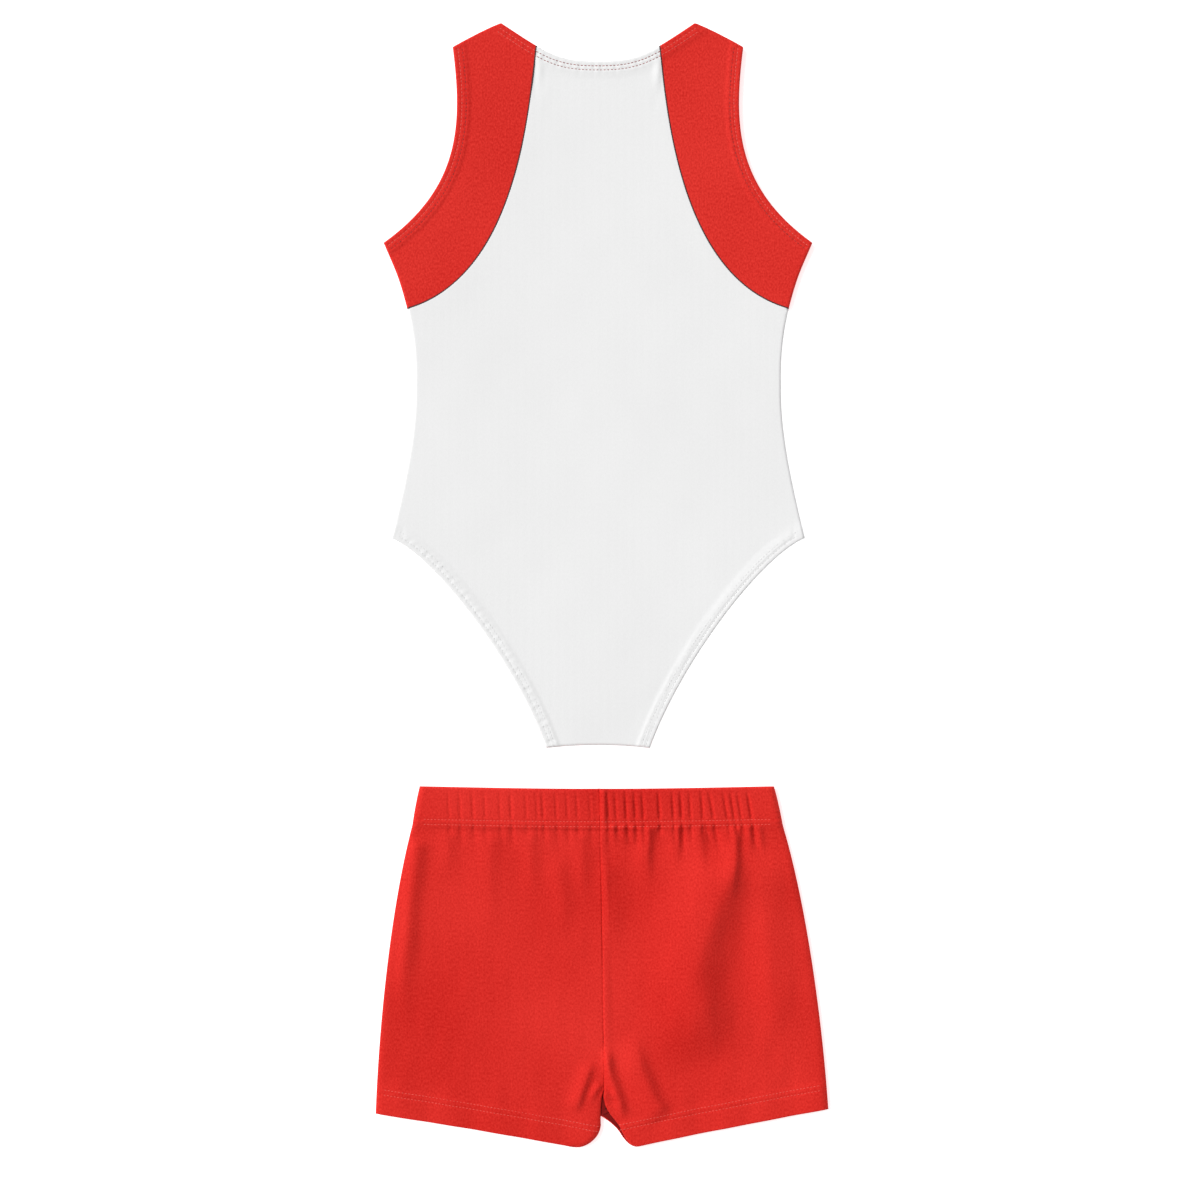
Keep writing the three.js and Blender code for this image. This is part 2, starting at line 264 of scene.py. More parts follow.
def spacing(length, step, close=()):
    """Shares of a length for the lines of a grid: close together at both ends, where cloth rolls
    under, even between them, and with any further places given in close."""
    middle = np.linspace(edge_steps[-1], length - edge_steps[-1], int(length / step))
    places = np.concatenate([edge_steps, middle, length - edge_steps, close])
    places = np.unique(np.round(places[(places >= 0) & (places <= length)], 5))
    places = places[np.concatenate([[True], np.diff(places) > 0.0001])]
    places[-1] = length
    return places / length


def patch(left, right, bottom, top, across, up, reach=3):
    """Grid between four edges. Each row runs straight from the left edge to the right, and the rows
    near the bottom and the top take up the shapes of those edges."""
    u, v = across[None, :, None], up[:, None, None]
    rows = (1 - u) * along(left, up)[:, None] + u * along(right, up)[:, None]

    def shape(edge):
        points = along(edge, across)[None]
        return points - ((1 - u) * points[:, :1] + u * points[:, -1:])

    return rows + (1 - v) ** reach * shape(bottom) + v**reach * shape(top)


turn_rest = 0.00015  # height of a turned ply above the plane between front and back
margin = 0.0072
margin_rows = 6
shaded_margin_rows = 4  # of a margin's rows, those where the reverse of the cloth faces out, painted darker as shade


def turned(edge, depth, width):
    """How far in from each point of an edge the steps of a turned margin lie, trimmed away towards
    both ends of the edge so that it stays inside the corners."""
    run = lengths(edge)
    steps = np.interp(depth, [0, 1, 2, 3, margin_rows], [0, 0.0002, 0.0006, 0.0011, width])
    return np.minimum(steps[None], 0.75 * np.minimum(run, run[-1] - run)[:, None])


def turn_under(plan, swell, widths=(margin, margin, margin, margin)):
    """The grid with margins of the given widths turned under at its left, right, bottom and top: from
    each edge the cloth bends down as a quarter ellipse, then runs back flat inside."""
    rows, columns = swell.shape
    row, column = (np.arange(-margin_rows, count + margin_rows) for count in swell.shape)
    at_row, at_column = row.clip(0, rows - 1), column.clip(0, columns - 1)
    below, above = (-row).clip(0), (row - rows + 1).clip(0)
    before, after = (-column).clip(0), (column - columns + 1).clip(0)

    def inward(edge, inner):
        leftward = -rightward(edge)
        facing = np.sign((leftward * (inner - edge)).sum(1))[:, None]
        return leftward * np.where(facing == 0, 1, facing)

    def folded(edge, inner, at, depth, width):
        return inward(edge, inner)[at][:, None] * turned(edge, depth, width)[at][..., None]

    wide = plan[np.ix_(at_row, at_column)].copy()
    wide += folded(plan[:, 0], plan[:, 5], at_row, before, widths[0])
    wide += folded(plan[:, -1], plan[:, -6], at_row, after, widths[1])
    wide += folded(plan[0], plan[5], at_column, below, widths[2]).swapaxes(0, 1)
    wide += folded(plan[-1], plan[-6], at_column, above, widths[3]).swapaxes(0, 1)
    turn_down = np.array([0, 0.5, 0.87, 1, 1, 1, 1])
    share = np.maximum(
        turn_down[np.maximum(below, above)][:, None],
        turn_down[np.maximum(before, after)][None],
    )
    height = swell[np.ix_(at_row, at_column)]
    return wide, height - share * np.maximum(height - turn_rest, 0)


def put_mesh(name, points, faces, material, uv=None):
    """A mesh object from an array of points and face arrays, one for each number of corners."""
    mesh = bpy.data.meshes.new(name)
    corners = [face for kind in faces for face in kind.tolist()]
    mesh.from_pydata(points.reshape(-1, 3).tolist(), [], corners)
    if uv is not None:
        layer = mesh.uv_layers.new(name="cloth")
        order = np.concatenate([kind.ravel() for kind in faces])
        layer.data.foreach_set("uv", uv.reshape(-1, 2)[order].ravel())
    mesh.shade_smooth()
    mesh.materials.append(material)
    piece = bpy.data.objects.new(name, mesh)
    bpy.context.collection.objects.link(piece)
    return piece


def quads(rows, columns, flipped=False, ring=False):
    """Faces of a grid of points, wound upwards unless flipped; in a ring the last column joins the
    first."""
    row = np.arange(rows - 1)[:, None]
    column = np.arange(columns if ring else columns - 1)[None]
    after = (column + 1) % columns
    corners = [
        row * columns + column,
        row * columns + after,
        (row + 1) * columns + after,
        (row + 1) * columns + column,
    ]
    faces = np.stack(corners, axis=-1).reshape(-1, 4)
    return faces[:, ::-1] if flipped else faces


def cloth(name, plan, height, material, front=False, mirrored=False, reverse=None):
    """A piece of cloth through a grid of places and heights, facing outwards from its side of the garment,
    with its thickness given inwards. Its map is its place in metres, moved so that it is never negative.
    The reverse may be given a second finish, a darker colour painted on as shade: the inner face takes it,
    and so do the turned margins, where the reverse faces out."""
    if mirrored:
        plan = mirror(plan)
    faces = [quads(*height.shape, flipped=front != mirrored)]
    piece = put_mesh(name, at_height(plan, height), faces, material, plan + np.array([0.25, 0.5]))
    thickness = piece.modifiers.new("thickness", "SOLIDIFY")
    thickness.thickness = cloth_thickness
    thickness.offset = -1
    # Painted shade: the inner face and the turned margins get the darker finish, for the shade they lie in.
    if reverse:
        piece.data.materials.append(reverse)
        thickness.material_offset = 1
        row, column = (np.arange(count - 1) for count in height.shape)
        row_turned = (row < shaded_margin_rows) | (row > row[-1] - shaded_margin_rows)
        column_turned = (column < shaded_margin_rows) | (column > column[-1] - shaded_margin_rows)
        painted_shade_faces = row_turned[:, None] | column_turned[None]
        piece.data.polygons.foreach_set("material_index", painted_shade_faces.ravel().astype(np.int32))
    return piece


def declare(piece, rests_on):
    """Reads the points of a piece and the areas of its faces, the area of its surface, which would be its
    cut area since nothing stretches it; nothing is done with them."""
    mesh = piece.data
    points = np.empty(len(mesh.vertices) * 3)
    mesh.vertices.foreach_get("co", points)
    areas = np.empty(len(mesh.polygons))
    mesh.polygons.foreach_get("area", areas)


class Value:
    """A number in a shader, with arithmetic: each operation adds one Math node."""

    def __init__(self, made, socket):
        self.made, self.socket = made, socket

    def _math(self, operation, *others):
        return self.made.node("ShaderNodeMath", {"operation": operation}, *others)

    def __add__(self, other):
        return self._math("ADD", self, other)

    __radd__ = __add__

    def __mul__(self, other):
        return self._math("MULTIPLY", self, other)

    __rmul__ = __mul__

    def sine(self):
        return self._math("SINE", self)


class Material:
    """A Principled material and the nodes that feed it."""

    def __init__(self, name, **constants):
        self.material = bpy.data.materials.new(name)
        self.material.use_nodes = True
        self.tree = self.material.node_tree
        self.shader = self.tree.nodes["Principled BSDF"]
        for socket, value in constants.items():
            self.shader.inputs[socket.replace("_", " ")].default_value = value

    def node(self, kind, settings, *inputs, out=0, **named):
        """Adds a node: its settings first, then its sockets by order or name, as values or links."""
        made = self.tree.nodes.new(kind)
        for setting, value in settings.items():
            setattr(made, setting, value)
        for socket, value in [*enumerate(inputs), *named.items()]:
            if isinstance(value, Value):
                self.tree.links.new(value.socket, made.inputs[socket])
            elif value is not None:
                made.inputs[socket].default_value = value
        return Value(self, made.outputs[out])

    def cloth_place(self):
        """Place on the cloth in metres, from the piece's own map."""
        return self.node("ShaderNodeUVMap", {"uv_map": "cloth"})

    def object_place(self):
        """Place in the object's own space, in metres."""
        return self.node("ShaderNodeTexCoord", {}, out=3)

    def noise(self, place, scale, detail=2.0, roughness=0.5):
        """Uneven value round a half, with the given number of features to the metre."""
        settings = {"noise_dimensions": "3D"}
        return self.node("ShaderNodeTexNoise", settings, place, None, scale, detail, roughness)

    def stretched(self, place, x, y):
        """A place with its two directions scaled."""
        return self.node("ShaderNodeMapping", {}, place, None, (0, 0, 0), (x, y, 1))

    def parts(self, place):
        """The three coordinates of a place."""
        first = self.node("ShaderNodeSeparateXYZ", {}, place)
        return [Value(self, socket) for socket in first.socket.node.outputs]

    def mix(self, factor, first, second):
        """Colour between two others, whose sockets come after those for numbers and vectors."""
        skipped = [None] * 5
        return self.node("ShaderNodeMix", {"data_type": "RGBA"}, factor, *skipped, first, second, out=2)

    def ramp(self, value, low, high):
        """A value's range from low to high spread over 0 to 1, and cut off outside."""
        return self.node("ShaderNodeMapRange", {"clamp": True}, value, low, high, 0.0, 1.0)

    def feed(self, socket, value):
        self.tree.links.new(value.socket, self.shader.inputs[socket])

    def bump(self, height, distance, strength=1.0):
        """Relief of the surface, its height in shares of the distance."""
        sockets = {"Strength": strength, "Distance": distance, "Height": height}
        self.feed("Normal", self.node("ShaderNodeBump", {}, **sockets))


wale = 0.00085  # width of a column of loops
loop_depth = 0.00016
fleck_size = 0.0012


def knit(name, pale, deep, grain, sheen):
    """Sports knit: vertical wales crossed by courses, a fine grain of colour that is partly the knit's own
    mottling and partly painted highlight where loops catch the light, and slow drift of the colour over the
    cloth."""
    made = Material(name, Sheen_Weight=sheen, Sheen_Roughness=0.5, Specular_IOR_Level=0.1)
    place = made.cloth_place()
    turn = 2 * math.pi / wale
    across, up, _ = made.parts(place)
    wobble = made.noise(place, 160, 2.0) * 1.6
    wales = (across * turn + wobble).sine()
    courses = (up * (turn * 1.35) + wobble).sine()
    loops = wales * courses
    flecks = made.noise(made.stretched(place, 1, 0.62), 1 / fleck_size, 2.0, 0.6)
    drift = made.noise(place, 9, 2.0)
    # The pale end of the grain is partly painted highlight of loops catching the light and partly the
    # knit's own mottling; the drift is the cloth's own tone.
    light = made.ramp(flecks * grain + drift * (1 - grain), 0.33, 0.67)
    made.feed("Base Color", made.mix(light, deep, pale))
    made.feed("Roughness", 0.66 + flecks * 0.16)
    made.bump(loops * 0.22 + wales * 0.2 + flecks * 0.9, loop_depth, 0.6)
    return made.material


white_knit = knit("white knit", (0.825, 0.825, 0.825, 1), (0.79, 0.79, 0.79, 1), 0.6, 0.03)


def leotard_cloth(name, plan, neck, yoke_seam, material, front, mirrored=False):
    """A grid of the leotard's cloth at its own height, with its margins turned under."""
    swell = leotard_swell(plan[..., 0], plan[..., 1], neck, yoke_seam)
    plan, swell = turn_under(plan, swell)
    height = mid_plane - swell if front else mid_plane + swell
    return cloth(name, plan, height, material, front, mirrored)


def leotard_panel(name, neck_run, neck, yoke_seam, front, step):
    """The white part of one side of the leotard, between the two yokes and the two legs."""
    edge = chain(leg_opening[::-1], side_below[::-1], yoke_seam[::-1])
    length = lengths(edge)[-1]
    at_fold = np.interp(fold_y, edge[:, 1], lengths(edge))
    close = np.concatenate([
        np.arange(edge_steps[-1], lengths(leg_opening)[-1], 0.0019),
        at_fold + np.linspace(-0.006, waist_turn + 0.006, 24),
    ])
    up = spacing(length, step, close)
    across = spacing(2 * waist_half, step)
    top = chain(other_side(neck_run), neck_run)
    plan = patch(mirror(edge), edge, crotch_edge[::-1], top, across, up, 6)
    return leotard_cloth(name, plan, neck, yoke_seam, white_knit, front)


def fold_at_waist(piece):
    """Bakes the placement of a piece that runs from the lower half to the upper into its mesh."""
    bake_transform(piece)


def stand_for(piece, held, slot, *nodes):
    """Puts a piece in the place of its nodes, which it hides; the slot of its finish is not used. It rides
    on the body that is named, or goes to the function that is given, which bakes its placement into its
    mesh."""
    if isinstance(held, str):
        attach(piece, held)
    else:
        held(piece)
    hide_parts(*nodes)


back_panel = leotard_panel("back_panel", back_neck_white, back_neck, back_yoke_seam, False, 0.0036)
declare(back_panel, ["front_panel"])
stand_for(back_panel, fold_at_waist, "white_knit", "back_panel_upper", "back_panel_lower")

# ---- Front panel of the leotard ----
# The same cut in the same knit, with a lower neck. It lies face down under the back panel and is
# joined to it along the sides and the crotch.

front_neck_drop = 0.047
front_neck = bow((0, shoulder_y - front_neck_drop), shoulder_neck, (0.355, 0.2), (0.48, 0.15), 80)
front_neck_white, front_neck_red = parted(front_neck, yoke_top_half)
front_yoke_seam = bow(front_neck_red[0], rib, (0.16, 0.053), (0.73, 0.302), 60)

front_panel = leotard_panel("front_panel", front_neck_white, front_neck, front_yoke_seam, True, 0.005)
declare(front_panel, ["floor"])
stand_for(front_panel, fold_at_waist, "white_knit", "front_panel_upper", "front_panel_lower")

# ---- Red yokes ----
# Four pieces of red knit in the same weight, a back and a front over each shoulder, sewn to the white
# panels along a curved seam that runs from the neck down to the side.

yoke_red = knit("red knit of the yokes", (0.79, 0.041, 0.030, 1), (0.56, 0.013, 0.009, 1), 0.75, 0.02)


def yoke(name, neck_run, neck, yoke_seam, front, left, step):
    """A grid between the yoke seam, the side, the armhole and the neck with the shoulder."""
    arm = armhole[::-1]
    up = spacing(lengths(arm)[-1], step)
    top = chain(neck_run, shoulder)
    across = spacing(lengths(top)[-1], step)
    plan = patch(yoke_seam[::-1], arm, side_above[::-1], top, across, up)
    return leotard_cloth(name, plan, neck, yoke_seam, yoke_red, front, left)


hands = (("left", True), ("right", False))
leotard_faces = (
    ("back", back_neck_red, back_neck, back_yoke_seam, 1),
    ("front", front_neck_red, front_neck, front_yoke_seam, -1),
)
for end, left in hands:
    for face, neck_run, neck, seam, _ in leotard_faces:
        front = face == "front"
        step = 0.0026 if front else 0.0016
        piece = yoke(f"yoke_{face}_{end}", neck_run, neck, seam, front, left, step)
        declare(piece, ["floor" if front else "yoke_front_" + end])
        stand_for(piece, "leotard_upper", "red_knit", f"{face}_yoke_{end}")

# ---- Front lining and crotch lining ----
# Thin smooth white knit laid inside the front panel, caught in the seams round its edge, and a short
# second layer of it in the crotch.

lining_gap = 0.0084
lining_swell = 0.0006


def lining_knit():
    """Fine smooth knit: small even wales and a soft sheen."""
    made = Material("lining knit", Roughness=0.6, Sheen_Weight=0.1)
    place = made.cloth_place()
    flecks = made.noise(made.stretched(place, 1, 0.4), 900, 2.0)
    made.feed("Base Color", made.mix(flecks, (0.71, 0.71, 0.71, 1), (0.78, 0.78, 0.775, 1)))
    made.bump(flecks, 0.0001, 0.5)
    return made.material


lining = lining_knit()


def inner_sheet(name, edge, bottom, top, front, close=()):
    """A flat sheet between two mirrored side edges, at one height."""
    up = np.unique(np.concatenate([np.linspace(0, 1, 60), close]))
    across = np.linspace(0, 1, 40)
    plan = patch(mirror(edge), edge, bottom, top, across, up, 4)
    sign = -1 if front else 1
    height = np.full(plan.shape[:2], mid_plane + sign * lining_swell)
    piece = cloth(name, plan, height, lining, front)
    piece.modifiers["thickness"].thickness = 0.0003
    return piece


def inside(path, distance):
    """The path moved to its right by a distance."""
    return path + distance * rightward(path)


lining_edge = inside(chain(front_yoke_seam, side_below, leg_opening), lining_gap)
lining_edge = lining_edge[(lining_edge[:, 1] > crotch_y + lining_gap)][::-1]
lining_edge = lining_edge[lining_edge[:, 1] < front_neck_red[0, 1] - lining_gap]
lining_foot = np.array([mirror(lining_edge[0]), lining_edge[0]])
lining_head = bow(mirror(lining_edge[-1]), lining_edge[-1], (0.3, 0.2), (0.7, 0.2))
at_fold = np.interp(fold_y, lining_edge[:, 1], lengths(lining_edge))
bend_rows = (at_fold + np.linspace(-0.002, waist_turn + 0.002, 18)) / lengths(lining_edge)[-1]
front_lining = inner_sheet("front_lining", lining_edge, lining_foot, lining_head, True, bend_rows)
declare(front_lining, ["front_panel"])
stand_for(front_lining, fold_at_waist, "lining", "front_lining_upper", "front_lining_lower")

gusset_height = 0.085
gusset_edge = lining_edge[lining_edge[:, 1] < crotch_y + gusset_height]
gusset_head = bow(mirror(gusset_edge[-1]), gusset_edge[-1], (0.3, 0.04), (0.7, 0.04))
gusset = inner_sheet("crotch_lining", gusset_edge, lining_foot, gusset_head, False)
declare(gusset, ["front_lining"])
stand_for(gusset, "leotard_lower", "lining", "crotch_gusset")

# ---- Elastics of the neck, the armholes and the legs ----
# Five narrow loops of flat knitted elastic, each joined end to end and held in its hem between the
# outer cloth and the ply turned under it.

elastic_centre = 0.0041  # in from the edge of a hem
elastic_short = 0.0034  # of each end of the hem
elastic_half_width = 0.0024
elastic_half_thickness = 0.0004
elastic_height = 0.0013


def elastic_finish():
    """Ribbed elastic: fine ribs along the length, crossed by the knitting."""
    made = Material("knitted elastic", Roughness=0.62)
    place = made.object_place()
    flecks = made.noise(place, 700, 2.0)
    made.feed("Base Color", made.mix(flecks, (0.72, 0.72, 0.70, 1), (0.82, 0.82, 0.80, 1)))
    made.bump(flecks, 0.0002, 0.6)
    return made.material


elastic = elastic_finish()


def band(name, path, width, half_width, half_thickness, material, closed=False, corners=8):
    """A strip carried along a path: at each step a ring of points, half_width along the given width
    direction and half_thickness square to it, with its four corners rounded."""
    step = np.roll(path, -1, 0) - np.roll(path, 1, 0) if closed else np.gradient(path, axis=0)
    step /= np.linalg.norm(step, axis=1)[:, None]
    width = width - (width * step).sum(1)[:, None] * step
    width /= np.linalg.norm(width, axis=1)[:, None]
    up = np.cross(step, width)
    angle = np.linspace(0, 2 * math.pi, corners, endpoint=False)
    wide = np.sign(np.cos(angle)) * np.abs(np.cos(angle)) ** 0.6
    thick = np.sign(np.sin(angle)) * np.abs(np.sin(angle)) ** 0.8
    half_width = np.broadcast_to(half_width, len(path))[:, None, None]
    half_thickness = np.broadcast_to(half_thickness, len(path))[:, None, None]
    points = path[:, None] + half_width * wide[None, :, None] * width[:, None]
    points = points + half_thickness * thick[None, :, None] * up[:, None]
    if closed:
        count = len(path)
        faces = quads(count + 1, corners, ring=True) % (count * corners)
        return put_mesh(name, points, [faces], material)
    ends = np.arange(corners)
    caps = np.array([ends[::-1], ends + (len(path) - 1) * corners])
    return put_mesh(name, points, [quads(len(path), corners, ring=True), caps], material)


def level_across(plan):
    """Level directions across a plan path, with their height of 0."""
    return np.pad(rightward(plan), ((0, 0), (0, 1)))


def loop_round(over, under, height):
    """Closed path out along one plan path above the middle plane and back along another below it,
    turning round each end, and the direction across it at each step."""
    bend = np.linspace(0, math.pi, 9)[1:-1, None]

    def turn(start, finish, out, sign):
        share = (1 - np.cos(bend)) / 2
        plan = (1 - share) * start + share * finish + out * height * np.sin(bend)
        return at_height(plan, mid_plane + sign * height * np.cos(bend)[:, 0])

    over_across, under_across = level_across(over), level_across(under)
    out_end = over[-1] - over[-2]
    out_start = over[0] - over[1]
    path = np.concatenate([
        at_height(over, mid_plane + height),
        turn(over[-1], under[-1], out_end / np.linalg.norm(out_end), 1),
        at_height(under[::-1], mid_plane - height),
        turn(under[0], over[0], out_start / np.linalg.norm(out_start), -1),
    ])
    ends = np.repeat((over_across[-1] + under_across[-1])[None] / 2, len(bend), 0)
    starts = np.repeat((over_across[0] + under_across[0])[None] / 2, len(bend), 0)
    return path, np.concatenate([over_across, ends, under_across[::-1], starts])


def elastic_loop(name, over, under, body, *nodes):
    """Elastic that lies in a hem, out along one edge and back along the edge below it."""
    def inset(edge):
        middle = inside(edge, elastic_centre)
        end, count = lengths(middle)[-1] - elastic_short, int(lengths(edge)[-1] / 0.003)
        return piece_of(middle, elastic_short, end, count)

    path, across = loop_round(inset(over), inset(under), elastic_height)
    loop = band(name, path, across, elastic_half_width, elastic_half_thickness, elastic, True)
    stand_for(loop, body, "elastic", *nodes)


whole_back_neck = chain(other_side(back_neck), back_neck)
whole_front_neck = chain(other_side(front_neck), front_neck)
elastic_loop("neck_elastic_loop", whole_back_neck, whole_front_neck, "leotard_upper", "neck_elastic")
openings = (("left", other_side(armhole), other_side(leg_opening)), ("right", armhole, leg_opening))
for end, arm, leg in openings:
    elastic_loop(f"armhole_elastic_loop_{end}", arm, arm, "leotard_upper", f"armhole_elastic_{end}")
    elastic_loop(f"leg_elastic_loop_{end}", leg, leg, "leotard_lower", f"leg_elastic_{end}")

# ---- Overlocked seams of the leotard ----
# Along the shoulders, the sides and the crotch the raw edges of front and back are trimmed together
# and wrapped with overlock thread, a soft ribbed cord just inside the garment.

overlock_inset = 0.0064
overlock_short = 0.0105  # of each end of its seam
overlock_half_width = 0.0012
overlock_half_thickness = 0.0006
thread_pitch = 0.0022


def thread_finish(name, pale, deep):
    """Spun thread: a slight slub along it and a matt surface."""
    made = Material(name, Roughness=0.7, Sheen_Weight=0.2)
    slub = made.noise(made.object_place(), 1400, 2.0)
    made.feed("Base Color", made.mix(made.ramp(slub, 0.35, 0.65), deep, pale))
    made.bump(slub, 0.0001, 0.7)
    return made.material


white_overlock = thread_finish("white overlock thread", (0.8, 0.8, 0.8, 1), (0.66, 0.66, 0.66, 1))
red_overlock = thread_finish("red overlock thread", (0.6, 0.04, 0.03, 1), (0.42, 0.02, 0.016, 1))


def overlock(name, edge, material, height=0.0):
    """A cord inside an edge, its thickness swelling and sinking with each stitch, tapered at both
    ends."""
    middle = inside(edge, overlock_inset)
    total = lengths(middle)[-1]
    count = max(int((total - 2 * overlock_short) / 0.00055), 12)
    plan = piece_of(middle, overlock_short, total - overlock_short, count)
    place = lengths(plan)
    path = at_height(plan, mid_plane + height)
    swelling = 1 + 0.14 * np.sin(2 * math.pi * place / thread_pitch)
    swelling = swelling * (0.3 + 0.7 * smooth(np.minimum(place, place[-1] - place), 0, 0.002))
    return band(name, path, level_across(plan), overlock_half_width * swelling,
                overlock_half_thickness * swelling, material)


crotch = overlock("crotch_overlock", crotch_edge, white_overlock)
stand_for(crotch, "leotard_lower", "seam_thread", "crotch_seam")
for end, over, down in (
    ("left", other_side(shoulder), other_side(chain(side_above, side_below))),
    ("right", shoulder, chain(side_above, side_below)),
):
    piece = overlock(f"shoulder_overlock_{end}", over, red_overlock)
    stand_for(piece, "leotard_upper", "seam_thread", f"shoulder_seam_{end}")
    piece = overlock(f"side_overlock_{end}", down, white_overlock)
    stand_for(piece, fold_at_waist, "seam_thread", f"side_seam_upper_{end}", f"side_seam_lower_{end}")

# ---- Seam lines of the yokes ----
# Thread lies in the groove where each red yoke meets the white cloth, and shows as a fine dark line from
# the neck to the side. Its near-black colour is partly the thread's own and partly painted shade of the
# groove.

line_radius = 0.0005
line_lift = 0.0004  # above the cloth on both sides of the groove
line_twist = 0.0019  # length of one turn of the thread
# Partly painted shade: the thread is near black to stand for the shadow in the seam's groove as well as its
# own dark colour.
dark_thread_and_shade = thread_finish("dark seam thread and painted shade", (0.075, 0.008, 0.008, 1), (0.022, 0.004, 0.005, 1))

for end, left in hands:
    for face, _, neck, seam, sign in leotard_faces:
        total = lengths(seam)[-1]
        plan = piece_of(seam, 0.0004, total - 0.0008, 400)
        swell = leotard_swell(plan[:, 0], plan[:, 1], neck, seam) + line_lift
        if left:
            plan = mirror(plan)
        path = at_height(plan, mid_plane + sign * swell)
        radius = line_radius * (1 + 0.16 * np.sin(2 * math.pi * lengths(plan) / line_twist))
        line = band(f"yoke_line_{face}_{end}", path, level_across(plan), radius, radius, dark_thread_and_shade)
        stand_for(line, "leotard_upper", "seam_thread", f"yoke_seam_{face}_{end}")

# ---- Cover stitching of the leotard ----
# Two rows of short stitches hold every elastic hem: red thread round the neck and the armholes, white
# thread round the legs. Each stitch dips into the cloth at both ends.

leotard_stitch = (0.0027, 0.0022, 0.00028)  # from one to the next, length and radius
pink_thread = thread_finish("red hem thread", (0.82, 0.13, 0.10, 1), (0.72, 0.07, 0.055, 1))
# Painted shade: the inner row of each armhole hem is drawn in this much darker red, the shade of its
# recess, though both rows are the same thread.
shaded_thread = thread_finish("hem thread darkened as painted shade", (0.36, 0.008, 0.005, 1), (0.26, 0.005, 0.004, 1))


def neck_thread_finish():
    """The neck's thread changes from dark red on the white cloth to light red on the yokes."""
    made = Material("neck hem thread", Roughness=0.7, Sheen_Weight=0.1)
    place = made.object_place()
    across = made.parts(place)[0]
    outwards = made.ramp(across * across, (yoke_top_half - 0.0006)**2, (yoke_top_half + 0.0004)**2)
    slub = made.ramp(made.noise(place, 900, 2.0), 0.35, 0.65)
    on_white = made.mix(slub, (0.20, 0.022, 0.025, 1), (0.36, 0.06, 0.06, 1))
    on_red = made.mix(slub, (0.72, 0.07, 0.055, 1), (0.82, 0.13, 0.10, 1))
    made.feed("Base Color", made.mix(outwards, on_white, on_red))
    made.bump(slub, 0.0001, 0.7)
    return made.material


neck_thread = neck_thread_finish()
white_thread = thread_finish("white hem thread", (0.83, 0.83, 0.83, 1), (0.7, 0.7, 0.7, 1))


def stitches(name, rows, pitch, length, radius, material, inner=None):
    """Many short stitches. Each row is a plan path, the function that gives the cloth's height along it,
    and 1 for the back of the garment or -1 for the front. A stitch is a hexagon carried over five steps,
    thickest and highest in the middle. Every second row may be given a second finish, the same thread
    darkened as painted shade."""
    steps = np.array([-1, -0.65, 0, 0.65, 1])
    thick = np.array([0.35, 0.85, 1, 0.85, 0.35])[None, :, None, None]
    angle = np.linspace(0, 2 * math.pi, 6, endpoint=False)[None, None, :, None]
    all_points = []
    for plan, swell_at, sign in rows:
        total = lengths(plan)[-1]
        centres = np.arange(pitch, total - pitch / 2, pitch)
        places = centres[:, None] + steps[None] * length / 2
        spots = along(plan, places / total)
        ahead = along(plan, (places + 0.0002) / total) - along(plan, (places - 0.0002) / total)
        ahead /= np.linalg.norm(ahead, axis=-1)[..., None]
        left = np.stack([-ahead[..., 1], ahead[..., 0], np.zeros(places.shape)], axis=-1) * sign
        swell = swell_at(spots[..., 0], spots[..., 1]) + radius * (0.75 - 1.25 * steps[None] ** 2)
        middle = at_height(spots, mid_plane + sign * swell)
        up = np.array([0, 0, sign])
        ring = np.cos(angle) * left[:, :, None] + np.sin(angle) * up
        all_points.append(middle[:, :, None] + radius * thick * ring)
    points = np.concatenate(all_points)
    count = len(points)
    start = np.arange(count)[:, None, None] * 30
    sides = (quads(5, 6, ring=True)[None] + start).reshape(-1, 4)
    ends = np.array([np.arange(6)[::-1], np.arange(6) + 24])
    caps = (ends[None] + start).reshape(-1, 6)
    piece = put_mesh(name, points, [sides, caps], material)
    # Painted shade: every second row, the inner one of a hem, takes the darker finish.
    if inner:
        piece.data.materials.append(inner)
        second = np.repeat(np.arange(len(all_points)) % 2, [len(row) for row in all_points])
        thread = np.concatenate([np.repeat(second, 24), np.repeat(second, 2)])
        piece.data.polygons.foreach_set("material_index", thread)
    return piece


def hem_stitches(name, over, under, body, node, material, slot, inner=None):
    """The cover stitching of one hem, its rows over the back and under the front."""
    rows = []
    for edge, (_, _, neck, seam, sign) in zip((over, under), leotard_faces):
        swell_at = partial(leotard_swell, neck=neck, yoke_seam=seam)
        rows += [(inside(edge, inset), swell_at, sign) for inset in stitch_rows]
    piece = stitches(name, rows, *leotard_stitch, material, inner)
    stand_for(piece, body, slot, node)


hem_stitches("neck_stitch_rows", whole_back_neck, whole_front_neck, "leotard_upper",
             "neck_coverstitch", neck_thread, "stitch_thread")
for end, arm, leg in openings:
    hem_stitches(f"armhole_stitch_rows_{end}", arm, arm, "leotard_upper",
                 f"armhole_coverstitch_{end}", pink_thread, "stitch_thread", shaded_thread)
    hem_stitches(f"leg_stitch_rows_{end}", leg, leg, "leotard_lower",
                 f"leg_coverstitch_{end}", white_thread, "white_thread")

# ---- Leg panels of the shorts ----
# Four pieces of red knit, a back and a front for each leg. The top of each is folded down as a casing
# for the waist elastic, which gathers it into small pleats, and the foot is turned up as a hem.

